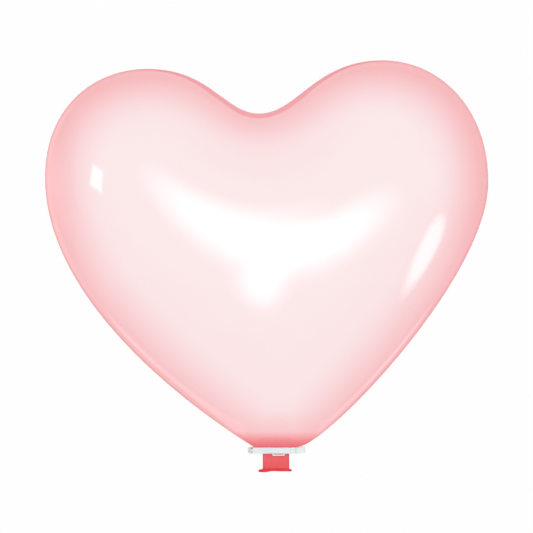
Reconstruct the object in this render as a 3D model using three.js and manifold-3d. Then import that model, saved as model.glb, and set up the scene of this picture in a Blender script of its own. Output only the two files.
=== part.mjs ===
// Heart-shaped latex balloon, closed by a hinged plastic clip across its flattened neck.
// Millimetres, +Z up, the front faces -Y.
// Origin: underside of the clip, midway along it, on the plane where its two jaws meet.
import * as THREE from 'three';
import { mergeVertices } from 'three/addons/utils/BufferGeometryUtils.js';
import Module from 'manifold-3d';

const manifold = await Module();
manifold.setup();

// ---- driving dimensions ---------------------------------------------------------------------

const TOUCH_GAP = 0.3;                  // clearance between separate pieces that bear on each other
const CUT_PAST = 1;                     // how far a cutting shape runs past the face it cuts

// Clip
const CLIP_HEIGHT = 8.6;
const JAW_OUTER = 5.2;                  // outer face of a jaw, from the parting plane
const JAW_INNER = 1.2;                  // inner face of a jaw, from the parting plane
const JAW_CHAMFER = 0.7;
const RIB_HEIGHT = 0.9;                 // grip ribs that run along the jaws' inner faces
const RIB_PROUD = 0.35;
const FRONT_JAW_LEFT = -32.2;
const FRONT_JAW_RIGHT = 26.0;
const BACK_JAW_LEFT = -33.4;
const BACK_JAW_RIGHT = 32.0;
const NOSE_RAMP_LENGTH = 5.4;           // the front jaw's free end slopes back under a fingertip
const NOSE_RAMP_DEPTH = 0.8;

// Hinge
const HINGE_X = -36.6;
const BARREL_RADIUS = 2.4;
const PIN_RADIUS = 0.9;
const PIN_CLEARANCE = 0.1;
const PIN_INSET = 0.15;                 // the pin's ends stop just inside the knuckles
const FRONT_KNUCKLE_LOW = 2.9;
const FRONT_KNUCKLE_HIGH = 5.7;

// Ribbon eye under the front jaw
const EYE_LEFT = -5.8;
const EYE_RIGHT = 11;
const EYE_DROP = 2.8;
const EYE_BAR = 1.6;
const EYE_THICKNESS = 2.0;

// Snap latch
const LATCH_LEFT = FRONT_JAW_RIGHT + TOUCH_GAP;
const LATCH_RIGHT = 39;
const LATCH_FRONT = -5.4;
const LATCH_LOW = 0.9;
const LATCH_HIGH = 8.8;
const LATCH_ARM_INNER = 34.6;
const FLEXURE_X = BACK_JAW_RIGHT + TOUCH_GAP;
const FLEXURE_Y = 3.2;
const FLEXURE_HALF = 0.5;

// Latex neck and the rolled rim round its mouth
const NECK_HALF_THICKNESS = 0.55;       // two films and the air slit between them
const SLIT_HALF = 0.2;
const NECK_TOP = CLIP_HEIGHT;
const NECK_TOP_HALF_WIDTH = 30.4;
const NECK_HALF_WIDTH = 18;
const NECK_CENTRE = -0.8;
const NECK_FLARE_START = -19.4;         // below this height the neck opens towards its rim
const RIM_HEIGHT = -22.5;               // height of the rolled rim's centre line at x = 0
const RIM_SLOPE = -0.02;
const RIM_DROOP = 1.8;                  // the rim hangs lower at its left end
const RIM_DROOP_START = -3;
const RIM_DROOP_LENGTH = 16;
const RIM_CENTRE = -1.8;
const RIM_TUBE_RADIUS = 1.5;
const RIM_BEND_RADIUS = 1.9;            // centre line's radius at each folded end
const RIM_HALF_LENGTH = 22.6;           // from the middle to the outside of a folded end
const RIM_FILM_EDGE = 0.6;              // half the film's thickness where it meets the rim

// Heart-shaped envelope, in the plane of the clip: [x, z]
const FILM_BASE = NECK_TOP + TOUCH_GAP;
const RIGHT_CORNER = [NECK_CENTRE + NECK_TOP_HALF_WIDTH, FILM_BASE];
const RIGHT_FLANK = [286.8, 367.7];
const RIGHT_CROWN = [142.8, 533];
const CLEFT = [-23.7, 461];
const LEFT_CROWN = [-174, 521.4];
const LEFT_FLANK = [-313.8, 374.5];
const LEFT_CORNER = [NECK_CENTRE - NECK_TOP_HALF_WIDTH, FILM_BASE];
const HEART_CENTRE = [-13, 300];        // every point of the outline is in straight sight of this
const FULLNESS = 0.72;                  // 1 would blow a circular outline into a sphere
const REFERENCE_RADIUS = 250;
const PINCH_LENGTH = 67;                // height over which the flat neck opens into the round body
const PINCH_POWER = 0.8;
const FILM_WALL = 0.8;
const WALL_GROWTH = 25;                 // height over which the neck's wall grows to FILM_WALL
const PAIR_BLEND = 5;                   // fullness by which the two films reach their flat thickness
const HEART_RINGS = 12;
const MOUTH_STEPS = 6;

// ---- materials ------------------------------------------------------------------------------

const paleLatex = new THREE.MeshStandardMaterial({ color: 0xfce4e6, roughness: 0.12, metalness: 0 });
const redLatex = new THREE.MeshStandardMaterial({ color: 0xea5e63, roughness: 0.35, metalness: 0 });
const whitePlastic = new THREE.MeshStandardMaterial({ color: 0xe6eeee, roughness: 0.3, metalness: 0 });

// ---- building blocks ------------------------------------------------------------------------

function toSolid(geometry) {
  const bare = geometry.clone();
  bare.deleteAttribute('normal');
  bare.deleteAttribute('uv');
  const merged = mergeVertices(bare, 1e-4);
  return new manifold.Manifold(new manifold.Mesh({
    numProp: 3,
    vertProperties: new Float32Array(merged.attributes.position.array),
    triVerts: new Uint32Array(merged.index.array),
  }));
}

function fromSolid(solid) {
  const mesh = solid.getMesh();
  const geometry = new THREE.BufferGeometry();
  geometry.setAttribute('position', new THREE.BufferAttribute(new Float32Array(mesh.vertProperties), 3));
  geometry.setIndex(new THREE.BufferAttribute(new Uint32Array(mesh.triVerts), 1));
  geometry.computeVertexNormals();
  return geometry;
}

function joined(parts) {
  return parts.slice(1).reduce((whole, part) => whole.add(part), parts[0]);
}

function shapeFrom(points) {
  return new THREE.Shape(points.map(([a, b]) => new THREE.Vector2(a, b)));
}

// A plan outline [x, y], raised from one height to another.
function raised(shape, low, high, curveSegments = 12) {
  const settings = { depth: high - low, bevelEnabled: false, curveSegments };
  const geometry = new THREE.ExtrudeGeometry(shape, settings);
  geometry.translate(0, 0, low);
  return toSolid(geometry);
}

// A cross-section [y, z], run along X.
function runAlongX(shape, left, right) {
  const geometry = new THREE.ExtrudeGeometry(shape, { depth: right - left, bevelEnabled: false });
  geometry.applyMatrix4(new THREE.Matrix4().makeBasis(
    new THREE.Vector3(0, 1, 0), new THREE.Vector3(0, 0, 1), new THREE.Vector3(1, 0, 0)));
  geometry.translate(left, 0, 0);
  return toSolid(geometry);
}

// A front elevation [x, z], run along Y.
function runAlongY(shape, front, back, curveSegments = 6) {
  const settings = { depth: back - front, bevelEnabled: false, curveSegments };
  const geometry = new THREE.ExtrudeGeometry(shape, settings);
  geometry.rotateX(Math.PI / 2);
  geometry.translate(0, back, 0);
  return toSolid(geometry);
}

function namedMesh(name, geometry, material) {
  const mesh = new THREE.Mesh(geometry, material);
  mesh.name = name;
  return mesh;
}

// Collects vertices and faces of a surface that is made point by point.
class Surface {
  constructor() {
    this.points = [];
    this.faces = [];
  }

  point(x, y, z) {
    this.points.push(x, y, z);
    return this.points.length / 3 - 1;
  }

  triangle(a, b, c) {
    this.faces.push(a, b, c);
  }

  quad(a, b, c, d) {
    this.triangle(a, b, c);
    this.triangle(a, c, d);
  }

  // A band of quads between two closed loops with equal numbers of points.
  band(loop, next) {
    const count = loop.length;
    for (let i = 0; i < count; i += 1) {
      const j = (i + 1) % count;
      this.quad(loop[i], loop[j], next[j], next[i]);
    }
  }

  geometry() {
    const geometry = new THREE.BufferGeometry();
    geometry.setAttribute('position', new THREE.Float32BufferAttribute(this.points, 3));
    geometry.setIndex(this.faces);
    geometry.computeVertexNormals();
    return geometry;
  }
}

// ---- heart-shaped envelope ------------------------------------------------------------------

// One stretch of the outline, with the handles that set its direction and fullness at each end.
function stretch(from, leave, arrive, to) {
  const points = [from, [from[0] + leave[0], from[1] + leave[1]], [to[0] - arrive[0], to[1] - arrive[1]], to];
  return new THREE.CubicBezierCurve(...points.map(([x, z]) => new THREE.Vector2(x, z)));
}

// The outline runs anticlockwise from the clip's right corner, over both lobes, to its left corner,
// and back along the open mouth.
const MOUTH_LINE = new THREE.LineCurve(new THREE.Vector2(...LEFT_CORNER), new THREE.Vector2(...RIGHT_CORNER));
const HEART_OUTLINE = [
  { curve: stretch(RIGHT_CORNER, [38, 3], [0, 129], RIGHT_FLANK), steps: 15 },
  { curve: stretch(RIGHT_FLANK, [0, 102], [-77, 0], RIGHT_CROWN), steps: 8 },
  { curve: stretch(RIGHT_CROWN, [-91, 0], [-51, 0], CLEFT), steps: 8 },
  { curve: stretch(CLEFT, [-46, 0], [-84, 0], LEFT_CROWN), steps: 8 },
  { curve: stretch(LEFT_CROWN, [-77, 0], [0, -92], LEFT_FLANK), steps: 8 },
  { curve: stretch(LEFT_FLANK, [0, -174], [72, -45], LEFT_CORNER), steps: 15 },
  { curve: MOUTH_LINE, steps: MOUTH_STEPS },
];

function outlinePoints(refine) {
  return HEART_OUTLINE.flatMap(({ curve, steps }) => curve.getPoints(steps * refine).slice(0, -1));
}

// How far a point lies inside the outline: the reach to the outline in every direction, r, is
// gathered as the integral of 1 / r^2 over the full turn. In a circle of radius R, at a distance
// d from its centre, reach() is exactly (R^2 - d^2) / R, so its root gives a sphere.
function reach(point, edges) {
  let total = 0;
  edges.forEach((a, i) => {
    const b = edges[(i + 1) % edges.length];
    const along = b.clone().sub(a).normalize();
    const start = a.clone().sub(point);
    const distance = start.x * along.y - start.y * along.x;
    const s0 = start.dot(along);
    const s1 = s0 + a.distanceTo(b);
    const turned = (s) => distance * s / (distance ** 2 + s ** 2) + Math.atan(s / distance);
    total += (turned(s1) - turned(s0)) / (2 * distance ** 2);
  });
  return Math.sqrt(2 * Math.PI / total);
}

// Half the envelope's depth over a point of the outline's plane.
function halfDepth(point, edges) {
  const round = Math.sqrt(REFERENCE_RADIUS * reach(point, edges));
  const pinch = 1 - Math.exp(-(((point.y - FILM_BASE) / PINCH_LENGTH) ** PINCH_POWER));
  const filmPair = NECK_HALF_THICKNESS * round / (round + PAIR_BLEND);
  return FULLNESS * round * pinch + filmPair;
}

function filmWall(height) {
  const grown = 1 - Math.exp(-(height - FILM_BASE) / WALL_GROWTH);
  return (NECK_HALF_THICKNESS - SLIT_HALF) * (1 - grown) + FILM_WALL * grown;
}

// Rings of points from the centre to the outline, on the front (-1) and the back (+1) sheet.
// The sheets share the outline's points, except along the open mouth at the clip.
function outerSkin(surface, outline, edges) {
  const centre = new THREE.Vector2(...HEART_CENTRE);
  const mouthStart = outline.length - MOUTH_STEPS;
  const sheets = { front: [], back: [] };
  const poleDepth = halfDepth(centre, edges);
  sheets.front.push([surface.point(centre.x, -poleDepth, centre.y)]);
  sheets.back.push([surface.point(centre.x, poleDepth, centre.y)]);
  for (let ring = 1; ring < HEART_RINGS; ring += 1) {
    const share = Math.sin(Math.PI / 2 * ring / HEART_RINGS);
    const places = outline.map((rim) => centre.clone().lerp(rim, share));
    const depths = places.map((place) => halfDepth(place, edges));
    sheets.front.push(places.map((place, i) => surface.point(place.x, -depths[i], place.y)));
    sheets.back.push(places.map((place, i) => surface.point(place.x, depths[i], place.y)));
  }
  const rimFront = [];
  const rimBack = [];
  outline.forEach((rim, i) => {
    const open = i > mouthStart;
    const front = surface.point(rim.x, open ? -NECK_HALF_THICKNESS : 0, rim.y);
    rimFront.push(front);
    rimBack.push(open ? surface.point(rim.x, NECK_HALF_THICKNESS, rim.y) : front);
  });
  sheets.front.push(rimFront);
  sheets.back.push(rimBack);
  return sheets;
}

function skinFaces(surface, sheet, outward) {
  const add = outward ? (a, b, c) => surface.triangle(a, b, c) : (a, b, c) => surface.triangle(a, c, b);
  const count = sheet[1].length;
  for (let i = 0; i < count; i += 1) {
    const j = (i + 1) % count;
    add(sheet[0][0], sheet[1][i], sheet[1][j]);
    for (let ring = 1; ring < sheet.length - 1; ring += 1) {
      add(sheet[ring][i], sheet[ring + 1][i], sheet[ring + 1][j]);
      add(sheet[ring][i], sheet[ring + 1][j], sheet[ring][j]);
    }
  }
}

function heartEnvelope() {
  const outline = outlinePoints(1);
  const edges = outlinePoints(4);
  const mouthStart = outline.length - MOUTH_STEPS;
  const surface = new Surface();
  const outer = outerSkin(surface, outline, edges);
  skinFaces(surface, outer.front, true);
  skinFaces(surface, outer.back, false);

  // The inner skin is the outer one moved in along its normals by the wall's thickness.
  const skin = surface.geometry();
  const { position, normal } = skin.attributes;
  const innerOf = new Map();
  for (let i = 0; i < position.count; i += 1) {
    const place = new THREE.Vector3().fromBufferAttribute(position, i);
    const inward = new THREE.Vector3().fromBufferAttribute(normal, i).multiplyScalar(-filmWall(place.z));
    const inner = place.clone().add(inward);
    if (place.z < FILM_BASE + TOUCH_GAP / 10) {
      const slitShare = 1 - FILM_WALL / NECK_TOP_HALF_WIDTH;
      const across = NECK_CENTRE + (place.x - NECK_CENTRE) * slitShare;
      inner.set(across, Math.sign(place.y) * SLIT_HALF, FILM_BASE);
    }
    innerOf.set(i, surface.point(inner.x, inner.y, inner.z));
  }
  const inner = {
    front: outer.front.map((ring) => ring.map((i) => innerOf.get(i))),
    back: outer.back.map((ring) => ring.map((i) => innerOf.get(i))),
  };
  skinFaces(surface, inner.front, false);
  skinFaces(surface, inner.back, true);

  // The lips of the open mouth join the outer skin to the inner one.
  for (let i = mouthStart; i < outline.length; i += 1) {
    const j = (i + 1) % outline.length;
    const front = outer.front.at(-1);
    const back = outer.back.at(-1);
    surface.quad(front[j], front[i], innerOf.get(front[i]), innerOf.get(front[j]));
    surface.quad(back[i], back[j], innerOf.get(back[j]), innerOf.get(back[i]));
  }
  return namedMesh('heart_envelope', surface.geometry(), paleLatex);
}

// ---- neck and rolled rim --------------------------------------------------------------------

function smoothStep(value) {
  const t = Math.min(Math.max(value, 0), 1);
  return t * t * (3 - 2 * t);
}

function rimHeight(x) {
  return RIM_HEIGHT + RIM_SLOPE * x - RIM_DROOP * smoothStep((RIM_DROOP_START - x) / RIM_DROOP_LENGTH);
}

// Half width, centre and half thickness of the flattened neck at one height.
function neckSection(height, bottom) {
  const shoulder = smoothStep(height / NECK_TOP);
  const flare = smoothStep((NECK_FLARE_START - height) / (NECK_FLARE_START - bottom));
  const rimHalfWidth = RIM_HALF_LENGTH - RIM_TUBE_RADIUS + RIM_FILM_EDGE;
  const straight = NECK_HALF_WIDTH + (NECK_TOP_HALF_WIDTH - NECK_HALF_WIDTH) * shoulder;
  return {
    halfWidth: straight + (rimHalfWidth - NECK_HALF_WIDTH) * flare,
    centre: NECK_CENTRE + (RIM_CENTRE - NECK_CENTRE) * flare,
    halfThickness: NECK_HALF_THICKNESS + (RIM_BEND_RADIUS + RIM_FILM_EDGE - NECK_HALF_THICKNESS) * flare,
    flare,
  };
}

function neckSleeve() {
  const around = 36;
  const levels = 16;
  const wall = NECK_HALF_THICKNESS - SLIT_HALF;
  const sideWall = 2 * wall;
  const bottom = RIM_HEIGHT + RIM_TUBE_RADIUS + TOUCH_GAP;
  const surface = new Surface();
  const outer = [];
  const inner = [];
  for (let level = 0; level <= levels; level += 1) {
    const height = NECK_TOP + (bottom - NECK_TOP) * level / levels;
    const { halfWidth, centre, halfThickness, flare } = neckSection(height, bottom);
    const ring = (width, thickness) => Array.from({ length: around }, (_, i) => {
      const angle = 2 * Math.PI * i / around;
      const x = centre + width * Math.cos(angle);
      return surface.point(x, thickness * Math.sin(angle), height + (rimHeight(x) - RIM_HEIGHT) * flare);
    });
    outer.push(ring(halfWidth, halfThickness));
    inner.push(ring(halfWidth - sideWall, halfThickness - wall));
  }
  for (let level = 0; level < levels; level += 1) {
    surface.band(outer[level + 1], outer[level]);
    surface.band(inner[level], inner[level + 1]);
  }
  surface.band(outer[0], inner[0]);
  surface.band(inner[levels], outer[levels]);
  return namedMesh('neck_sleeve', surface.geometry(), redLatex);
}

// Centre line of the rim: two straight runs joined by tight bends where it is folded flat.
function rimPath() {
  const straightHalf = RIM_HALF_LENGTH - RIM_TUBE_RADIUS - RIM_BEND_RADIUS;
  const path = new THREE.Path();
  path.moveTo(RIM_CENTRE - straightHalf, -RIM_BEND_RADIUS);
  path.lineTo(RIM_CENTRE + straightHalf, -RIM_BEND_RADIUS);
  path.absarc(RIM_CENTRE + straightHalf, 0, RIM_BEND_RADIUS, -Math.PI / 2, Math.PI / 2, false);
  path.lineTo(RIM_CENTRE - straightHalf, RIM_BEND_RADIUS);
  path.absarc(RIM_CENTRE - straightHalf, 0, RIM_BEND_RADIUS, Math.PI / 2, 3 * Math.PI / 2, false);
  return path;
}

function mouthRim() {
  const bendSteps = 10;
  const tubeSides = 12;
  const points = rimPath().getPoints(bendSteps).slice(0, -1);
  const unique = points.filter((point, i) => i === 0 || point.distanceTo(points[i - 1]) > 1e-6);
  const surface = new Surface();
  const loops = unique.map((point, i) => {
    const before = unique.at(i - 1);
    const after = unique[(i + 1) % unique.length];
    const arriving = point.clone().sub(before).normalize();
    const leaving = after.clone().sub(point).normalize();
    const onward = arriving.add(leaving).normalize();
    return Array.from({ length: tubeSides }, (_, k) => {
      const angle = 2 * Math.PI * k / tubeSides;
      const out = RIM_TUBE_RADIUS * Math.cos(angle);
      const up = RIM_TUBE_RADIUS * Math.sin(angle);
      return surface.point(point.x + out * onward.y, point.y - out * onward.x, rimHeight(point.x) + up);
    });
  });
  loops.forEach((loop, i) => surface.band(loops[(i + 1) % loops.length], loop));
  return namedMesh('mouth_rim', surface.geometry(), redLatex);
}

// ---- clip -----------------------------------------------------------------------------------

// A jaw's section: a bar with its two outer long edges chamfered. side is -1 in front, +1 behind.
function jawSection(side) {
  const corners = [
    [JAW_INNER, 0],
    [JAW_OUTER - JAW_CHAMFER, 0],
    [JAW_OUTER, JAW_CHAMFER],
    [JAW_OUTER, CLIP_HEIGHT - JAW_CHAMFER],
    [JAW_OUTER - JAW_CHAMFER, CLIP_HEIGHT],
    [JAW_INNER, CLIP_HEIGHT],
  ];
  return shapeFrom(corners.map(([y, z]) => [side * y, z]));
}

// Grip ribs stand in from a jaw's inner face, and start inside it so that the two join.
function gripRib(side, left, right, middle) {
  const root = side * (JAW_INNER + RIB_PROUD);
  const tip = side * (JAW_INNER - RIB_PROUD);
  const low = middle - RIB_HEIGHT / 2;
  const high = middle + RIB_HEIGHT / 2;
  const slope = RIB_HEIGHT / 4;
  const section = shapeFrom([[root, low], [tip, low + slope], [tip, high - slope], [root, high]]);
  return runAlongX(section, left + JAW_CHAMFER, right - JAW_CHAMFER);
}

// A hinge knuckle: a bored barrel and the web that carries it to its jaw.
function hingeKnuckle(side, jawEnd, low, high) {
  const web = shapeFrom([
    [HINGE_X, 0],
    [jawEnd + JAW_CHAMFER, side * JAW_INNER],
    [jawEnd + JAW_CHAMFER, side * (JAW_OUTER - JAW_CHAMFER)],
    [jawEnd - JAW_CHAMFER, side * (JAW_OUTER - JAW_CHAMFER)],
    [HINGE_X - BARREL_RADIUS / 2, side * BARREL_RADIUS * Math.cos(Math.PI / 6)],
  ]);
  const barrel = new THREE.Shape().absarc(HINGE_X, 0, BARREL_RADIUS, 0, 2 * Math.PI, false);
  return raised(web, low, high).add(raised(barrel, low, high, 16));
}

function hingeBore() {
  const circle = new THREE.Shape().absarc(HINGE_X, 0, PIN_RADIUS + PIN_CLEARANCE, 0, 2 * Math.PI, false);
  return raised(circle, -CUT_PAST, CLIP_HEIGHT + CUT_PAST, 12);
}

function backJaw() {
  const ribHeights = [CLIP_HEIGHT * 0.25, CLIP_HEIGHT * 0.75];
  const solid = joined([
    runAlongX(jawSection(1), BACK_JAW_LEFT, BACK_JAW_RIGHT),
    ...ribHeights.map((middle) => gripRib(1, BACK_JAW_LEFT, BACK_JAW_RIGHT, middle)),
    hingeKnuckle(1, BACK_JAW_LEFT, 0, FRONT_KNUCKLE_LOW - TOUCH_GAP),
    hingeKnuckle(1, BACK_JAW_LEFT, FRONT_KNUCKLE_HIGH + TOUCH_GAP, CLIP_HEIGHT),
  ]);
  return namedMesh('back_jaw', fromSolid(solid.subtract(hingeBore())), whitePlastic);
}

// The eye that a ribbon is threaded through: a rounded U moulded under the front jaw.
function ribbonEye() {
  const root = CUT_PAST;
  const bend = EYE_BAR;
  const outer = new THREE.Shape();
  outer.moveTo(EYE_LEFT, root);
  outer.lineTo(EYE_LEFT, -EYE_DROP + bend);
  outer.absarc(EYE_LEFT + bend, -EYE_DROP + bend, bend, Math.PI, 3 * Math.PI / 2, false);
  outer.lineTo(EYE_RIGHT - bend, -EYE_DROP);
  outer.absarc(EYE_RIGHT - bend, -EYE_DROP + bend, bend, -Math.PI / 2, 0, false);
  outer.lineTo(EYE_RIGHT, root);
  const window = shapeFrom([
    [EYE_LEFT + EYE_BAR, 0],
    [EYE_LEFT + EYE_BAR, -EYE_DROP + EYE_BAR],
    [EYE_RIGHT - EYE_BAR, -EYE_DROP + EYE_BAR],
    [EYE_RIGHT - EYE_BAR, 0],
  ]);
  const front = -JAW_OUTER + JAW_CHAMFER;
  const body = runAlongY(outer, front, front + EYE_THICKNESS);
  return body.subtract(runAlongY(window, front - CUT_PAST, front + EYE_THICKNESS + CUT_PAST));
}

function frontJaw() {
  const bar = runAlongX(jawSection(-1), FRONT_JAW_LEFT, FRONT_JAW_RIGHT);
  const noseRamp = raised(shapeFrom([
    [FRONT_JAW_RIGHT - NOSE_RAMP_LENGTH, -JAW_OUTER],
    [FRONT_JAW_RIGHT - NOSE_RAMP_LENGTH, -JAW_OUTER - CUT_PAST],
    [FRONT_JAW_RIGHT + CUT_PAST, -JAW_OUTER - CUT_PAST],
    [FRONT_JAW_RIGHT + CUT_PAST, -JAW_OUTER + NOSE_RAMP_DEPTH],
    [FRONT_JAW_RIGHT, -JAW_OUTER + NOSE_RAMP_DEPTH],
  ]), -CUT_PAST, CLIP_HEIGHT + CUT_PAST);
  const solid = joined([
    bar.subtract(noseRamp),
    gripRib(-1, FRONT_JAW_LEFT, FRONT_JAW_RIGHT, CLIP_HEIGHT / 2),
    hingeKnuckle(-1, FRONT_JAW_LEFT, FRONT_KNUCKLE_LOW, FRONT_KNUCKLE_HIGH),
    ribbonEye(),
  ]);
  return namedMesh('front_jaw', fromSolid(solid.subtract(hingeBore())), whitePlastic);
}

function hingePin() {
  const edge = 0.2;
  const low = PIN_INSET;
  const high = CLIP_HEIGHT - PIN_INSET;
  const profile = [
    [0, low],
    [PIN_RADIUS - edge, low],
    [PIN_RADIUS, low + edge],
    [PIN_RADIUS, high - edge],
    [PIN_RADIUS - edge, high],
    [0, high],
  ].map(([radius, height]) => new THREE.Vector2(radius, height));
  const geometry = new THREE.LatheGeometry(profile, 24);
  geometry.rotateX(Math.PI / 2);
  geometry.translate(HINGE_X, 0, 0);
  return namedMesh('hinge_pin', fromSolid(toSolid(geometry)), whitePlastic);
}

// The latch, in plan: a thin flexure at the back jaw's end, an arm forward, and the head that
// closes over the front jaw's free end.
function snapLatch() {
  const edge = 1.3;
  const plan = shapeFrom([
    [FLEXURE_X, FLEXURE_Y - FLEXURE_HALF],
    [LATCH_ARM_INNER - edge, FLEXURE_Y - FLEXURE_HALF],
    [LATCH_ARM_INNER, FLEXURE_Y - FLEXURE_HALF - edge],
    [LATCH_ARM_INNER, -JAW_INNER],
    [LATCH_LEFT, -JAW_INNER],
    [LATCH_LEFT, LATCH_FRONT + JAW_CHAMFER],
    [LATCH_LEFT + JAW_CHAMFER, LATCH_FRONT],
    [LATCH_RIGHT - edge, LATCH_FRONT],
    [LATCH_RIGHT, LATCH_FRONT + edge],
    [LATCH_RIGHT, JAW_OUTER - edge],
    [LATCH_RIGHT - edge, JAW_OUTER],
    [LATCH_ARM_INNER + JAW_CHAMFER, JAW_OUTER],
    [LATCH_ARM_INNER - edge, FLEXURE_Y + FLEXURE_HALF],
    [FLEXURE_X, FLEXURE_Y + FLEXURE_HALF],
  ]);
  return namedMesh('snap_latch', fromSolid(raised(plan, LATCH_LOW, LATCH_HIGH)), whitePlastic);
}

// ---- assembly -------------------------------------------------------------------------------

const group = new THREE.Group();
group.add(heartEnvelope());
group.add(neckSleeve());
group.add(mouthRim());
group.add(backJaw());
group.add(frontJaw());
group.add(hingePin());
group.add(snapLatch());

export default group;
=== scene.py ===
import math

import bpy
import numpy as np
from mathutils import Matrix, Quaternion, Vector


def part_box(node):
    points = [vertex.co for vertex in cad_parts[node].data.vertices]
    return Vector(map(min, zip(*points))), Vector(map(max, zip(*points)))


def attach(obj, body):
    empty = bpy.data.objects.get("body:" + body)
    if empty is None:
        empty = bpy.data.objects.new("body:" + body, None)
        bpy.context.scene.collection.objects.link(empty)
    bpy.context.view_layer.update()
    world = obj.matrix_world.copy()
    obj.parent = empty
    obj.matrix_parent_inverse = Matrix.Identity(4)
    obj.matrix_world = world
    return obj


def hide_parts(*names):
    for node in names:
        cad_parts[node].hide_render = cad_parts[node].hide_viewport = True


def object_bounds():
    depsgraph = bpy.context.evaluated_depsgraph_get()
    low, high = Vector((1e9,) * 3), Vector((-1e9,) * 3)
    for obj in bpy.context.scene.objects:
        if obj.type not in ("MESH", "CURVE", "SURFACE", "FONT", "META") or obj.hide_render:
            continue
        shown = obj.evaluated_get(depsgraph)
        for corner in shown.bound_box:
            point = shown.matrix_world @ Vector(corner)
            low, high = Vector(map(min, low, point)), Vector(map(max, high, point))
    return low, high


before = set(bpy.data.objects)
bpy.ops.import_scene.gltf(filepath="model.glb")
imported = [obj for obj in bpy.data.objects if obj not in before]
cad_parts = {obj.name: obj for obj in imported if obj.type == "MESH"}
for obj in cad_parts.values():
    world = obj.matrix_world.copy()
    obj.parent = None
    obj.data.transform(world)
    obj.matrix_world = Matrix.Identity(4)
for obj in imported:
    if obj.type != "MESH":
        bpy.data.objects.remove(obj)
CAD_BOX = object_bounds()

# Heart-shaped latex balloon with a neck clip. Metres, +Z up, the front faces -Y.
# The film surfaces repeat the CAD part's own formulas at a finer step, so they fit its solids.

MM = 0.001

# ---- driving dimensions ---------------------------------------------------------------------

CLIP_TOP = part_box("back_jaw")[1].z
FILM_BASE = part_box("heart_envelope")[0].z

NECK_TOP_HALF_WIDTH = 30.4 * MM
NECK_HALF_WIDTH = 18 * MM
NECK_CENTRE = -0.8 * MM
NECK_HALF_THICKNESS = 0.55 * MM
SLIT_HALF = 0.2 * MM
NECK_FLARE_START = -20.4 * MM
NECK_FOLD_START = 0.93                  # share of the neck's half-width where its side fold begins
NECK_FOLD_LENGTH = 0.04
RIPPLE_HEIGHT = 0.06 * MM
RIPPLE_FADE = 4 * MM                    # the ripples reach full height this far below the clip
LIP_BAND = 0.03 * MM                    # points this near the film's base belong to its open lip

RIM_HEIGHT = -22.5 * MM
RIM_SLOPE = -0.02
RIM_DROOP = 1.8 * MM                    # the rim hangs lower at its left end
RIM_DROOP_START = -3 * MM
RIM_DROOP_LENGTH = 16 * MM
RIM_CENTRE = -1.8 * MM
RIM_TUBE_RADIUS = 1.5 * MM
RIM_BEND_RADIUS = 1.9 * MM
RIM_HALF_LENGTH = 22.6 * MM
RIM_FILM_EDGE = 0.6 * MM
RIM_BULB_START = -15 * MM               # the roll is fatter left of here
RIM_BULB_LENGTH = 6 * MM
RIM_FOLD_LENGTH = 5 * MM                # the roll's colour deepens this near its folded ends
RIM_UNDERSIDE_SHADE = 0.45              # and, as painted shade, by this share of that colour on its underside
RIM_BULB_SWELL = 0.3
RIM_FREE_EDGE = 0.11                    # the rolled film's free edge stands this share proud
RIM_FREE_EDGE_ANGLE = -120

RIGHT_CORNER = (NECK_CENTRE + NECK_TOP_HALF_WIDTH, FILM_BASE)
RIGHT_FLANK = (286.8 * MM, 367.7 * MM)
RIGHT_CROWN = (142.8 * MM, 533 * MM)
CLEFT = (-23.7 * MM, 461 * MM)
LEFT_CROWN = (-174 * MM, 521.4 * MM)
LEFT_FLANK = (-313.8 * MM, 374.5 * MM)
LEFT_CORNER = (NECK_CENTRE - NECK_TOP_HALF_WIDTH, FILM_BASE)
HEART_CENTRE = np.array((-13 * MM, 300 * MM))
FULLNESS = 0.72
REFERENCE_RADIUS = 250 * MM
PINCH_LENGTH = 67 * MM
PINCH_POWER = 0.8
PAIR_BLEND = 5 * MM
FILM_WALL = 0.8 * MM
WALL_GROWTH = 25 * MM
HEART_RINGS = 40
MOUTH_STEPS = 24

GLOSS_ATTRIBUTE = "gloss"
DEPTH_ATTRIBUTE = "colour_depth"
EDGE_COLOUR_WIDTH = 66 * MM             # the film's colour deepens this near the outline
FOLD_WIDTH = 7.0 * MM                   # darker fold line along the cleft
FOLD_LEAN = 2.2 * MM                    # the fold reaches this much further over the front
FOLD_WALL_SHARE = 0.4                   # and the film is stretched thin along it
FOLD_THIN_REACH = 1.3                   # over this many fold widths
FOLD_BORDER = 1.2 * MM
FOLD_REACH = 155 * MM                   # the fold fades this far to either side of the cleft
CLEFT_REACH = 90 * MM                   # the edge colour is weaker this near to the cleft
CLEFT_LIGHTER = 0.3                     # by this much, and narrower by the same share
LOBE_START = 230 * MM                   # the edge colour deepens over this height
LOBE_RISE = 120 * MM
LOBE_DEPTH = 0.24
FLANK_DEPTH = 0.76
BASE_START = 40 * MM                    # and is deeper and narrower again near the clip
BASE_RISE = 90 * MM
BASE_CHANGE = 0.1
DEPTH_BELOW_FOLD = 0.85                 # the deepest edge colour, where the fold's own is 1
DULL_EDGE = 1 * MM                      # the gloss grows from here to this much further inside
GLOSS_RISE = 7 * MM
DULL_NECK = 2 * MM                      # and from here to this much further up from the clip
NECK_GLOSS_RISE = 24 * MM
EDGE_GLOSS = 0.3
NECK_GLOSS = 0.15
FOLD_GLOSS = 0.3

# ---- camera and stage -----------------------------------------------------------------------

CAMERA_DISTANCE = 4.0
VIEW_WIDTH = 0.723                      # width of the camera's view at the balloon
VIEW_CENTRE = Vector((-0.0137, 0, 0.2536))
FLOOR_DROP = 1.9                        # the balloon floats this far above the floor
FLOOR_RADIUS = 3.0


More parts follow.
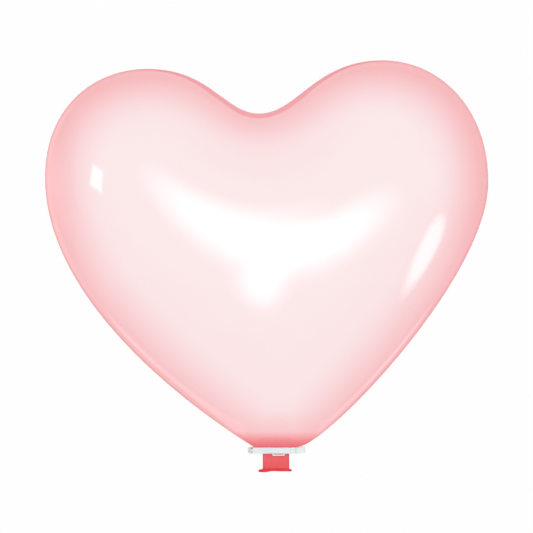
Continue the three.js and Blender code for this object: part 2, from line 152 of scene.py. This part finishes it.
def make_camera():
    data = bpy.data.cameras.new("camera")
    data.lens = data.sensor_width * CAMERA_DISTANCE / VIEW_WIDTH
    camera = bpy.data.objects.new("camera", data)
    camera.location = VIEW_CENTRE + Vector((0, -CAMERA_DISTANCE, 0))
    camera.rotation_euler = (math.pi / 2, 0, 0)
    bpy.context.scene.collection.objects.link(camera)
    bpy.context.scene.camera = camera


make_camera()


# ---- node helpers ---------------------------------------------------------------------------

def new_material(name):
    material = bpy.data.materials.new(name)
    material.use_nodes = True
    tree = material.node_tree
    tree.nodes.clear()
    output = tree.nodes.new("ShaderNodeOutputMaterial")
    shader = tree.nodes.new("ShaderNodeBsdfPrincipled")
    tree.links.new(shader.outputs["BSDF"], output.inputs["Surface"])
    return material, tree, shader, output


def add_node(tree, kind, **settings):
    node = tree.nodes.new(kind)
    for key, value in settings.items():
        setattr(node, key, value)
    return node


def set_inputs(node, values):
    for key, value in values.items():
        node.inputs[key].default_value = value


def larger_of(tree, first, second):
    node = add_node(tree, "ShaderNodeMath", operation="MAXIMUM")
    tree.links.new(first, node.inputs[0])
    tree.links.new(second, node.inputs[1])
    return node.outputs[0]


def noise(tree, scale, detail, stretch=(1, 1, 1)):
    coordinates = add_node(tree, "ShaderNodeTexCoord")
    mapping = add_node(tree, "ShaderNodeMapping")
    mapping.inputs["Scale"].default_value = stretch
    texture = add_node(tree, "ShaderNodeTexNoise")
    set_inputs(texture, {"Scale": scale, "Detail": detail})
    tree.links.new(coordinates.outputs["Object"], mapping.inputs["Vector"])
    tree.links.new(mapping.outputs["Vector"], texture.inputs["Vector"])
    return texture.outputs["Fac"]


def colour_ramp(tree, factor, stops):
    ramp = add_node(tree, "ShaderNodeValToRGB")
    elements = ramp.color_ramp.elements
    while len(elements) < len(stops):
        elements.new(0.5)
    for element, (position, colour) in zip(elements, stops):
        element.position = position
        element.color = (*colour, 1)
    tree.links.new(factor, ramp.inputs["Fac"])
    return ramp.outputs["Color"]


def height_fraction(tree, low, high):
    coordinates = add_node(tree, "ShaderNodeTexCoord")
    parts = add_node(tree, "ShaderNodeSeparateXYZ")
    fraction = add_node(tree, "ShaderNodeMapRange")
    set_inputs(fraction, {"From Min": low, "From Max": high})
    tree.links.new(coordinates.outputs["Object"], parts.inputs["Vector"])
    tree.links.new(parts.outputs["Z"], fraction.inputs["Value"])
    return fraction.outputs["Result"]


def add_bump(tree, shader, height, distance, strength=1.0, socket="Normal"):
    bump = add_node(tree, "ShaderNodeBump")
    set_inputs(bump, {"Distance": distance, "Strength": strength})
    tree.links.new(height, bump.inputs["Height"])
    tree.links.new(bump.outputs["Normal"], shader.inputs[socket])


def multiply_colours(tree, first, second):
    mix = add_node(tree, "ShaderNodeMix", data_type="RGBA", blend_type="MULTIPLY")
    mix.inputs["Factor"].default_value = 1
    tree.links.new(first, mix.inputs[6])
    tree.links.new(second, mix.inputs[7])
    return mix.outputs[2]


# ---- materials ------------------------------------------------------------------------------

def film_material():
    """Thin clear latex: what lies behind shows through, tinted by the film's own thickness.
    Only the outside is glossy; the inside is dull with the powder that keeps latex from sticking."""
    material, tree, shader, output = new_material("pale_latex_film")
    set_inputs(shader, {
        "Roughness": 0.04,
        "IOR": 1.01,
        "Transmission Weight": 1.0,
        "Coat Roughness": 0.05,
        "Coat IOR": 1.5,
    })
    gloss = add_node(tree, "ShaderNodeAttribute", attribute_name=GLOSS_ATTRIBUTE)
    tree.links.new(gloss.outputs["Fac"], shader.inputs["Coat Weight"])
    # The film is less stretched, so redder, in the last few centimetres above the clip.
    near_neck = colour_ramp(tree, height_fraction(tree, FILM_BASE, FILM_BASE + 52 * MM), [
        (0.0, (0.93, 0.54, 0.57)),
        (0.13, (0.965, 0.635, 0.65)),
        (0.25, (0.98, 0.79, 0.795)),
        (0.34, (0.995, 0.87, 0.875)),
        (0.39, (1.0, 0.95, 0.955)),
        (1.0, (1.0, 1.0, 1.0)),
    ])
    # It is stretched less toward the outline too, and most of all along the cleft's fold.
    depth = add_node(tree, "ShaderNodeAttribute", attribute_name=DEPTH_ATTRIBUTE)
    near_edge = colour_ramp(tree, depth.outputs["Fac"], [
        (0.0, (1.0, 1.0, 1.0)),
        (0.15, (1.0, 0.975, 0.98)),
        (0.85, (0.985, 0.785, 0.795)),
        (1.0, (0.965, 0.725, 0.75)),
    ])
    mottle = colour_ramp(tree, noise(tree, scale=14, detail=4), [
        (0.3, (0.998, 0.99, 0.99)),
        (0.7, (1.0, 1.0, 1.0)),
    ])
    tint = multiply_colours(tree, multiply_colours(tree, near_neck, near_edge), mottle)
    tree.links.new(tint, shader.inputs["Base Color"])
    add_bump(tree, shader, noise(tree, scale=9, detail=2), 0.25 * MM, socket="Coat Normal")
    absorption = add_node(tree, "ShaderNodeVolumeAbsorption")
    absorption.inputs["Color"].default_value = (0.915, 0.015, 0.06, 1)
    absorption.inputs["Density"].default_value = 107
    tree.links.new(absorption.outputs["Volume"], output.inputs["Volume"])
    return material


def red_latex_material(name, upper, lower, shade, fold):
    """Slack latex at its moulded thickness: matt, slightly translucent, finely wrinkled, redder
    toward the mouth, where the film is thickest, and darker where it is folded flat; the same darker
    colour is painted shade under the rolled rim."""
    material, tree, shader, _ = new_material(name)
    set_inputs(shader, {
        "Roughness": 0.5,
        "Specular IOR Level": 0.15,
        "Subsurface Weight": 0.25,
        "Subsurface Radius": (1.2 * MM, 0.3 * MM, 0.3 * MM),
        "Subsurface Scale": 1.0,
    })
    by_height = colour_ramp(tree, height_fraction(tree, RIM_HEIGHT, 0), [(0.0, lower), (1.0, upper)])
    blotches = colour_ramp(tree, noise(tree, scale=160, detail=4), [(0.3, shade), (0.65, (1, 1, 1))])
    # On the rolled rim this darker colour is also painted shade along the roll's underside.
    fold_and_shade_share = add_node(tree, "ShaderNodeAttribute", attribute_name=DEPTH_ATTRIBUTE)
    fold_and_shade_colour = colour_ramp(tree, fold_and_shade_share.outputs["Fac"], [(0.0, (1, 1, 1)), (1.0, fold)])
    latex = multiply_colours(tree, by_height, blotches)
    tree.links.new(multiply_colours(tree, latex, fold_and_shade_colour), shader.inputs["Base Color"])
    wrinkles = noise(tree, scale=900, detail=4, stretch=(1, 1, 0.35))
    add_bump(tree, shader, wrinkles, 0.12 * MM, strength=0.6)
    return material


def clip_material():
    """Moulded white plastic with a fine matt grain."""
    material, tree, shader, _ = new_material("clip_plastic_moulded")
    set_inputs(shader, {
        "IOR": 1.49,
        "Specular IOR Level": 0.2,
        "Subsurface Weight": 0.4,
        "Subsurface Radius": (1.2 * MM, 1.2 * MM, 1.2 * MM),
        "Subsurface Scale": 1.0,
    })
    shades = colour_ramp(tree, noise(tree, scale=90, detail=3), [
        (0.25, (0.72, 0.79, 0.80)),
        (0.75, (0.78, 0.85, 0.855)),
    ])
    tree.links.new(shades, shader.inputs["Base Color"])
    gloss = add_node(tree, "ShaderNodeMapRange")
    set_inputs(gloss, {"To Min": 0.24, "To Max": 0.38})
    tree.links.new(noise(tree, scale=400, detail=2), gloss.inputs["Value"])
    tree.links.new(gloss.outputs["Result"], shader.inputs["Roughness"])
    add_bump(tree, shader, noise(tree, scale=2600, detail=3), 0.03 * MM, strength=0.5)
    return material


def floor_material():
    material, tree, shader, _ = new_material("pale_floor")
    shades = colour_ramp(tree, noise(tree, scale=3, detail=2), [
        (0.0, (0.86, 0.86, 0.86)),
        (1.0, (0.9, 0.9, 0.9)),
    ])
    tree.links.new(shades, shader.inputs["Base Color"])
    shader.inputs["Roughness"].default_value = 0.7
    return material


PALE_FILM = film_material()
NECK_LATEX = red_latex_material(
    "red_latex_neck",
    upper=(0.93, 0.125, 0.14),
    lower=(0.93, 0.074, 0.087),
    shade=(0.96, 0.9, 0.9),
    fold=(0.82, 0.9, 0.95),
)
# The rim's fold colour darkens its folded ends and, as painted shade, the underside of the roll.
RIM_LATEX = red_latex_material(
    "red_latex_rim",
    upper=(0.9, 0.06, 0.07),
    lower=(0.88, 0.05, 0.062),
    shade=(0.88, 0.76, 0.8),
    fold=(0.55, 0.52, 0.8),
)
CLIP_PLASTIC = clip_material()


# ---- mesh helpers ---------------------------------------------------------------------------

def mesh_piece(name, points, faces, material):
    mesh = bpy.data.meshes.new(name)
    mesh.from_pydata([tuple(point) for point in points], [], faces)
    mesh.materials.append(material)
    mesh.polygons.foreach_set("use_smooth", np.ones(len(mesh.polygons), dtype=bool))
    mesh.update()
    piece = bpy.data.objects.new(name, mesh)
    bpy.context.scene.collection.objects.link(piece)
    return piece


def set_attribute(piece, name, values):
    attribute = piece.data.attributes.new(name, "FLOAT", "POINT")
    attribute.data.foreach_set("value", np.asarray(values, dtype=float))


def band(loop, following):
    """Quads between two closed loops of point numbers."""
    count = len(loop)
    return [
        (loop[i], loop[(i + 1) % count], following[(i + 1) % count], following[i])
        for i in range(count)
    ]


def smooth_step(value):
    t = np.clip(value, 0, 1)
    return t * t * (3 - 2 * t)


# ---- heart-shaped envelope ------------------------------------------------------------------

def stretch(start, leave, arrive, end, steps):
    """Points along one stretch of the outline, without its last one."""
    p0, p3 = np.array(start), np.array(end)
    p1, p2 = p0 + np.array(leave) * MM, p3 - np.array(arrive) * MM
    t = np.linspace(0, 1, steps, endpoint=False)[:, None]
    return (1 - t) ** 3 * p0 + 3 * (1 - t) ** 2 * t * p1 + 3 * (1 - t) * t ** 2 * p2 + t ** 3 * p3


def heart_outline(refine):
    """Anticlockwise from the clip's right corner over both lobes, and back along the mouth."""
    mouth = np.linspace(LEFT_CORNER, RIGHT_CORNER, MOUTH_STEPS, endpoint=False)
    return np.concatenate([
        stretch(RIGHT_CORNER, (38, 3), (0, 129), RIGHT_FLANK, 15 * refine),
        stretch(RIGHT_FLANK, (0, 102), (-77, 0), RIGHT_CROWN, 8 * refine),
        stretch(RIGHT_CROWN, (-91, 0), (-51, 0), CLEFT, 8 * refine),
        stretch(CLEFT, (-46, 0), (-84, 0), LEFT_CROWN, 8 * refine),
        stretch(LEFT_CROWN, (-77, 0), (0, -92), LEFT_FLANK, 8 * refine),
        stretch(LEFT_FLANK, (0, -174), (72, -45), LEFT_CORNER, 15 * refine),
        mouth,
    ])


def reach(points, edges):
    """How far each point lies inside the outline, from 1 / r^2 gathered over the full turn."""
    total = np.zeros(len(points))
    for a, b in zip(edges, np.roll(edges, -1, axis=0)):
        length = np.linalg.norm(b - a)
        along = (b - a) / length
        start = a - points
        distance = start[:, 0] * along[1] - start[:, 1] * along[0]
        s0 = start @ along
        s1 = s0 + length
        turned = [distance * s / (distance ** 2 + s ** 2) + np.arctan(s / distance) for s in (s0, s1)]
        total += (turned[1] - turned[0]) / (2 * distance ** 2)
    return np.sqrt(2 * math.pi / total)


def half_depth(points, edges):
    fullness = np.sqrt(REFERENCE_RADIUS * reach(points, edges))
    pinch = 1 - np.exp(-((points[:, 1] - FILM_BASE) / PINCH_LENGTH) ** PINCH_POWER)
    film_pair = NECK_HALF_THICKNESS * fullness / (fullness + PAIR_BLEND)
    return FULLNESS * fullness * pinch + film_pair


def edge_distance(places, edges):
    nearest = np.full(len(places), np.inf)
    for a, b in zip(edges, np.roll(edges, -1, axis=0)):
        along = b - a
        share = np.clip((places - a) @ along / (along @ along), 0, 1)
        gap = places - a - share[:, None] * along
        nearest = np.minimum(nearest, np.hypot(gap[:, 0], gap[:, 1]))
    return nearest


def near_cleft(places):
    nearness = np.exp(-((places[:, 0] - CLEFT[0]) / FOLD_REACH) ** 2)
    return nearness * (places[:, 1] > HEART_CENTRE[1])


def fold_share(places, depth, inside):
    """1 on the fold along the cleft, which narrows to nothing over the lobes."""
    width = (FOLD_WIDTH - FOLD_LEAN * np.sign(depth)) * near_cleft(places)
    return smooth_step((width - inside) / FOLD_BORDER + 0.5) * (width > 0)


def film_gloss(places, inside, fold):
    """Full gloss on the stretched film, dull along the outline, on the fold and by the neck."""
    stretched = smooth_step((inside - DULL_EDGE) / GLOSS_RISE)
    clear_of_neck = smooth_step((places[:, 1] - FILM_BASE - DULL_NECK) / NECK_GLOSS_RISE)
    by_edge = EDGE_GLOSS + (1 - EDGE_GLOSS) * stretched
    by_neck = NECK_GLOSS + (1 - NECK_GLOSS) * clear_of_neck
    by_fold = 1 - (1 - FOLD_GLOSS) * fold
    return by_edge * by_neck * by_fold


def colour_depth(places, inside, fold):
    """How much the colour gathers: most round the lobes, less on the flanks and in the cleft."""
    upper = smooth_step((places[:, 1] - LOBE_START) / LOBE_RISE)
    cleft = np.exp(-((places[:, 0] - CLEFT[0]) / CLEFT_REACH) ** 2)
    low = 1 - smooth_step((places[:, 1] - BASE_START) / BASE_RISE)
    lobe = FLANK_DEPTH + upper * (LOBE_DEPTH - CLEFT_LIGHTER * cleft) + BASE_CHANGE * low
    width = EDGE_COLOUR_WIDTH * (1 - CLEFT_LIGHTER * upper * cleft - BASE_CHANGE * low)
    gathered = DEPTH_BELOW_FOLD * lobe * np.clip(1 - inside / width, 0, 1)
    return np.maximum(gathered, fold)


def film_wall(places, inside):
    grown = 1 - np.exp(-(places[:, 1] - FILM_BASE) / WALL_GROWTH)
    wall = (NECK_HALF_THICKNESS - SLIT_HALF) * (1 - grown) + FILM_WALL * grown
    thinned = near_cleft(places) * (1 - smooth_step(inside / (FOLD_THIN_REACH * FOLD_WIDTH)))
    return wall * (1 - (1 - FOLD_WALL_SHARE) * thinned)


def sheet_normals(places, edges):
    """Outward normals of the front sheet."""
    step = 0.05 * MM
    across, up = np.array((step, 0)), np.array((0, step))
    slope_x = (half_depth(places + across, edges) - half_depth(places - across, edges)) / (2 * step)
    slope_z = (half_depth(places + up, edges) - half_depth(places - up, edges)) / (2 * step)
    normals = np.stack([-slope_x, -np.ones(len(places)), -slope_z], axis=1)
    return normals / np.linalg.norm(normals, axis=1)[:, None]


def rim_normals(outline):
    forward = np.roll(outline, -1, axis=0) - np.roll(outline, 1, axis=0)
    normals = np.stack([forward[:, 1], np.zeros(len(outline)), -forward[:, 0]], axis=1)
    return normals / np.linalg.norm(normals, axis=1)[:, None]


def front_sheet(outline, edges):
    """Places and normals of the front sheet, ring by ring from the centre to the outline."""
    shares = np.sin(np.pi / 2 * np.arange(1, HEART_RINGS) / HEART_RINGS)
    rings = [HEART_CENTRE[None]] + [HEART_CENTRE + (outline - HEART_CENTRE) * share for share in shares]
    places = np.concatenate(rings)
    depth = half_depth(places, edges)
    points = np.stack([places[:, 0], -depth, places[:, 1]], axis=1)
    return points, sheet_normals(places, edges)


def heart_skin(outline, edges):
    """Outer points and normals, and each sheet's rings of point numbers."""
    inner_points, inner_normals = front_sheet(outline, edges)
    mirror = np.array((1, -1, 1))
    count = len(outline)
    rim = np.stack([outline[:, 0], np.zeros(count), outline[:, 1]], axis=1)
    open_mouth = np.arange(count - MOUTH_STEPS + 1, count)
    front_lip = rim.copy()
    front_lip[open_mouth, 1] = -NECK_HALF_THICKNESS
    back_lip = rim[open_mouth] + np.array((0, NECK_HALF_THICKNESS, 0))
    lip_normals = rim_normals(outline)
    lip_normals[open_mouth] = (0, -1, 0)
    sheet_size = len(inner_points)
    points = np.concatenate([inner_points, inner_points * mirror, front_lip, back_lip])
    normals = np.concatenate([
        inner_normals, inner_normals * mirror, lip_normals, np.tile((0, 1, 0), (len(open_mouth), 1)),
    ])
    sheets = []
    for side in (0, 1):
        first = side * sheet_size
        rings = [[first]]
        rings += [
            list(range(first + 1 + ring * count, first + 1 + (ring + 1) * count))
            for ring in range(HEART_RINGS - 1)
        ]
        sheets.append(rings)
    front_rim = list(range(2 * sheet_size, 2 * sheet_size + count))
    back_rim = list(front_rim)
    for k, i in enumerate(open_mouth):
        back_rim[i] = 2 * sheet_size + count + k
    sheets[0].append(front_rim)
    sheets[1].append(back_rim)
    return points, normals, sheets


def sheet_faces(rings, outward):
    count = len(rings[1])
    faces = [(rings[0][0], rings[1][i], rings[1][(i + 1) % count]) for i in range(count)]
    for ring, following in zip(rings[1:-1], rings[2:]):
        faces += [tuple(reversed(face)) for face in band(ring, following)]
    return faces if outward else [tuple(reversed(face)) for face in faces]


def make_heart():
    outline = heart_outline(4)
    edges = heart_outline(8)
    points, normals, (front, back) = heart_skin(outline, edges)
    places = points[:, [0, 2]]
    inside = edge_distance(places, edges)
    inner = points - normals * film_wall(places, inside)[:, None]
    lip = points[:, 2] < FILM_BASE + LIP_BAND
    slit_share = 1 - FILM_WALL / NECK_TOP_HALF_WIDTH
    inner[lip, 0] = NECK_CENTRE + (points[lip, 0] - NECK_CENTRE) * slit_share
    inner[lip, 1] = np.sign(points[lip, 1]) * SLIT_HALF
    inner[lip, 2] = FILM_BASE
    shift = len(points)
    inner_front = [[i + shift for i in ring] for ring in front]
    inner_back = [[i + shift for i in ring] for ring in back]
    outer_faces = sheet_faces(front, True) + sheet_faces(back, False)
    inner_faces = sheet_faces(inner_front, False) + sheet_faces(inner_back, True)
    lips = []
    for i in range(len(outline) - MOUTH_STEPS, len(outline)):
        j = (i + 1) % len(outline)
        lips.append((front[-1][j], front[-1][i], inner_front[-1][i], inner_front[-1][j]))
        lips.append((back[-1][i], back[-1][j], inner_back[-1][j], inner_back[-1][i]))
    faces = outer_faces + lips + inner_faces
    piece = mesh_piece("heart_film", np.concatenate([points, inner]), faces, PALE_FILM)
    fold = fold_share(places, points[:, 1], inside)
    gloss = film_gloss(places, inside, fold)
    set_attribute(piece, GLOSS_ATTRIBUTE, np.concatenate([gloss, np.zeros(shift)]))
    set_attribute(piece, DEPTH_ATTRIBUTE, np.tile(colour_depth(places, inside, fold), 2))
    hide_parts("heart_envelope")
    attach(piece, "balloon")


make_heart()


# ---- neck and rolled rim --------------------------------------------------------------------

def rim_height(x):
    return RIM_HEIGHT + RIM_SLOPE * x - RIM_DROOP * smooth_step((RIM_DROOP_START - x) / RIM_DROOP_LENGTH)


def neck_ripple(x, height):
    """Two sets of upright ripples that wander a little with height."""
    broad = np.sin(x / (2.1 * MM) + 0.9 * np.sin(height / (5 * MM)))
    fine = np.sin(x / (0.83 * MM) + height / (7 * MM))
    return broad + 0.6 * fine


def make_neck():
    around, levels = 160, 72
    wall = NECK_HALF_THICKNESS - SLIT_HALF
    bottom = RIM_HEIGHT + 0.6 * RIM_TUBE_RADIUS             # the film runs on into the roll
    angle = np.linspace(0, 2 * math.pi, around, endpoint=False)
    points, outer, inner = [], [], []
    for level in range(levels + 1):
        height = FILM_BASE + (bottom - FILM_BASE) * level / levels
        shoulder = smooth_step(height / CLIP_TOP)
        flare = smooth_step((NECK_FLARE_START - height) / (NECK_FLARE_START - bottom))
        rim_half_width = RIM_HALF_LENGTH - RIM_TUBE_RADIUS + RIM_FILM_EDGE
        half_width = NECK_HALF_WIDTH + (NECK_TOP_HALF_WIDTH - NECK_HALF_WIDTH) * shoulder
        half_width += (rim_half_width - NECK_HALF_WIDTH) * flare
        centre = NECK_CENTRE + (RIM_CENTRE - NECK_CENTRE) * flare
        thickness = NECK_HALF_THICKNESS
        thickness += (RIM_BEND_RADIUS + RIM_FILM_EDGE - NECK_HALF_THICKNESS) * flare
        ripple_height = RIPPLE_HEIGHT * smooth_step(-height / RIPPLE_FADE)
        for rings, width, depth in (
            (outer, half_width, thickness),
            (inner, half_width - 2 * wall, thickness - wall),
        ):
            x = centre + width * np.cos(angle)
            y = depth * np.sin(angle) + ripple_height * neck_ripple(x, height)
            z = height + (rim_height(x) - RIM_HEIGHT) * flare
            rings.append(list(range(len(points), len(points) + around)))
            points += list(zip(x, y, z))
    faces = []
    for level in range(levels):
        faces += band(outer[level + 1], outer[level])
        faces += band(inner[level], inner[level + 1])
    faces += band(outer[0], inner[0]) + band(inner[levels], outer[levels])
    piece = mesh_piece("neck_film", points, faces, NECK_LATEX)
    side_fold = smooth_step((np.abs(np.cos(angle)) - NECK_FOLD_START) / NECK_FOLD_LENGTH)
    set_attribute(piece, DEPTH_ATTRIBUTE, np.tile(side_fold, 2 * (levels + 1)))
    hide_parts("neck_sleeve")
    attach(piece, "balloon")


def rim_path(spacing):
    """Centre line of the folded rim and its directions: two straight runs and two tight bends."""
    straight = RIM_HALF_LENGTH - RIM_TUBE_RADIUS - RIM_BEND_RADIUS
    run = 2 * straight
    bend = math.pi * RIM_BEND_RADIUS
    total = 2 * (run + bend)
    places = []
    for s in np.linspace(0, total, round(total / spacing), endpoint=False):
        half_turns, s = divmod(s, run + bend)
        if s < run:
            x, y, turn = s - straight, -RIM_BEND_RADIUS, 0.0
        else:
            turn = (s - run) / RIM_BEND_RADIUS
            x = straight + RIM_BEND_RADIUS * math.sin(turn)
            y = -RIM_BEND_RADIUS * math.cos(turn)
        sign = -1 if half_turns else 1
        places.append((sign * x + RIM_CENTRE, sign * y, turn + math.pi * half_turns))
    return places


def make_rim():
    sides = 22
    points, loops, fold_and_shade_share = [], [], []
    for k, (x, y, turn) in enumerate(rim_path(0.5 * MM)):
        bulb = RIM_BULB_SWELL * float(smooth_step((RIM_BULB_START - x) / RIM_BULB_LENGTH))
        swell = 1 + bulb + 0.05 * math.sin(x / (3.1 * MM)) + 0.03 * math.sin(0.7 * k)
        height = float(rim_height(x)) + bulb * RIM_TUBE_RADIUS
        from_end = RIM_HALF_LENGTH - abs(x - RIM_CENTRE)
        end_fold = float(smooth_step((RIM_FOLD_LENGTH - from_end) / RIM_FOLD_LENGTH))
        loop = []
        for side in range(sides):
            share = side / (sides - 1)
            angle = math.radians(RIM_FREE_EDGE_ANGLE) + 2 * math.pi * share
            radius = RIM_TUBE_RADIUS * swell * (1 - RIM_FREE_EDGE * share)
            out = radius * math.cos(angle)
            up = radius * math.sin(angle)
            # Painted shade: the lower half of the roll is darkened as though it lay in its own shadow.
            underside_shade = RIM_UNDERSIDE_SHADE * float(smooth_step(-1.4 * up / radius))
            fold_and_shade_share.append(max(end_fold, underside_shade))
            loop.append(len(points))
            points.append((x + out * math.sin(turn), y - out * math.cos(turn), height + up))
        loops.append(loop)
    faces = []
    for k, loop in enumerate(loops):
        faces += band(loops[(k + 1) % len(loops)], loop)
    piece = mesh_piece("rolled_rim", points, faces, RIM_LATEX)
    set_attribute(piece, DEPTH_ATTRIBUTE, fold_and_shade_share)
    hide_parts("mouth_rim")
    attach(piece, "balloon")


make_neck()
make_rim()


# ---- clip -----------------------------------------------------------------------------------

def soften(node, width):
    """Gives a CAD piece its moulded look: rounded edges and the plastic material."""
    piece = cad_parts[node]
    piece.data.materials.clear()
    piece.data.materials.append(CLIP_PLASTIC)
    weld = piece.modifiers.new("weld", "WELD")
    weld.merge_threshold = 0.01 * MM
    flats = piece.modifiers.new("flats", "DECIMATE")
    flats.decimate_type = "DISSOLVE"
    flats.angle_limit = math.radians(1)
    bevel = piece.modifiers.new("rounded_edges", "BEVEL")
    bevel.width = width
    bevel.segments = 3
    bevel.limit_method = "ANGLE"
    bevel.angle_limit = math.radians(32)
    bevel.harden_normals = True


for node_name in ("back_jaw", "front_jaw", "snap_latch"):
    soften(node_name, 0.16 * MM)
soften("hinge_pin", 0.1 * MM)


# ---- light and floor ------------------------------------------------------------------------

LIGHT_PIVOT = Vector((-0.013, 0, 0.29))
WARM_WHITE = (1.0, 0.985, 0.96)


def make_world():
    world = bpy.data.worlds.new("white_studio")
    world.use_nodes = True
    background = world.node_tree.nodes["Background"]
    background.inputs["Color"].default_value = (0.991, 0.991, 0.991, 1)
    bpy.context.scene.world = world
    bpy.context.scene.view_settings.view_transform = "Standard"


def panel_direction(azimuth, elevation):
    a, e = math.radians(azimuth), math.radians(elevation)
    return Vector((math.sin(a) * math.cos(e), -math.cos(a) * math.cos(e), math.sin(e)))


def soft_panel(name, shape, aim, size, roll, radiance, core, distance=3.0):
    """A light panel that shows only in the gloss. Aim, size and roll are degrees as seen from the
    balloon; core is the share of its half-width that is fully bright before the soft border."""
    data = bpy.data.lights.new(name, "AREA")
    data.shape = shape
    data.size, data.size_y = (2 * distance * math.tan(math.radians(angle / 2)) for angle in size)
    area = data.size * data.size_y * (math.pi / 4 if shape == "ELLIPSE" else 1)
    data.energy = 4 * area * radiance
    data.color = WARM_WHITE
    soften_border(data, core)
    panel = bpy.data.objects.new(name, data)
    direction = panel_direction(*aim)
    panel.location = LIGHT_PIVOT + distance * direction
    rolled = direction.to_track_quat("Z", "Y") @ Quaternion((0, 0, 1), math.radians(roll))
    panel.rotation_euler = rolled.to_euler()
    panel.visible_camera = False
    panel.visible_transmission = False
    panel.visible_diffuse = False
    bpy.context.scene.collection.objects.link(panel)


def soften_border(data, core):
    data.use_nodes = True
    tree = data.node_tree
    geometry = add_node(tree, "ShaderNodeNewGeometry")
    centred = add_node(tree, "ShaderNodeVectorMath", operation="SUBTRACT")
    centred.inputs[1].default_value = (0.5, 0.5, 0)
    tree.links.new(geometry.outputs["Parametric"], centred.inputs[0])
    if data.shape == "ELLIPSE":
        radius = add_node(tree, "ShaderNodeVectorMath", operation="LENGTH")
        tree.links.new(centred.outputs["Vector"], radius.inputs[0])
        outwards = radius.outputs["Value"]
    else:
        size = add_node(tree, "ShaderNodeVectorMath", operation="ABSOLUTE")
        parts = add_node(tree, "ShaderNodeSeparateXYZ")
        tree.links.new(centred.outputs["Vector"], size.inputs[0])
        tree.links.new(size.outputs["Vector"], parts.inputs["Vector"])
        outwards = larger_of(tree, parts.outputs["X"], parts.outputs["Y"])
    fade = add_node(tree, "ShaderNodeMapRange", interpolation_type="SMOOTHSTEP")
    set_inputs(fade, {"From Min": 0.5 * core, "From Max": 0.5, "To Min": 1, "To Max": 0})
    tree.links.new(outwards, fade.inputs["Value"])
    tree.links.new(fade.outputs["Result"], tree.nodes["Emission"].inputs["Strength"])


def make_lights():
    soft_panel("front_left", "ELLIPSE", (-9, 0), (54, 74), 23, 4.45, 0.1)
    soft_panel("front_right", "ELLIPSE", (18, -10), (67, 49), 2, 5.2, 0.0)
    soft_panel("front_low", "ELLIPSE", (-3, -32), (31, 35), -36, 4.4, 0.0, 2.4)
    soft_panel("left_window", "RECTANGLE", (-66.3, 5.0), (12, 16.5), -19, 5.5, 0.4)
    soft_panel("right_window", "ELLIPSE", (84.8, -26), (18.5, 30), 36, 3.7, 0.45)
    soft_panel("left_bounce", "ELLIPSE", (-143, 3), (46, 58), 0, 0.28, 0.2)
    soft_panel("left_bounce_inner", "ELLIPSE", (-119, 2), (38, 42), 0, 0.36, 0.1)
    soft_panel("left_low_strip", "RECTANGLE", (-134, -50), (10, 52), 0, 0.5, 0.6, 1.5)
    soft_panel("right_low_strip", "RECTANGLE", (135, -43), (9, 46), -8, 0.5, 0.6, 1.5)


def make_floor():
    sides = 128
    height = CAD_BOX[0][2] - FLOOR_DROP
    turn = np.linspace(0, 2 * math.pi, sides, endpoint=False)
    points = [(FLOOR_RADIUS * math.cos(a), FLOOR_RADIUS * math.sin(a), height) for a in turn]
    floor = mesh_piece("floor", points, [tuple(range(sides))], floor_material())


make_world()
make_lights()
make_floor()
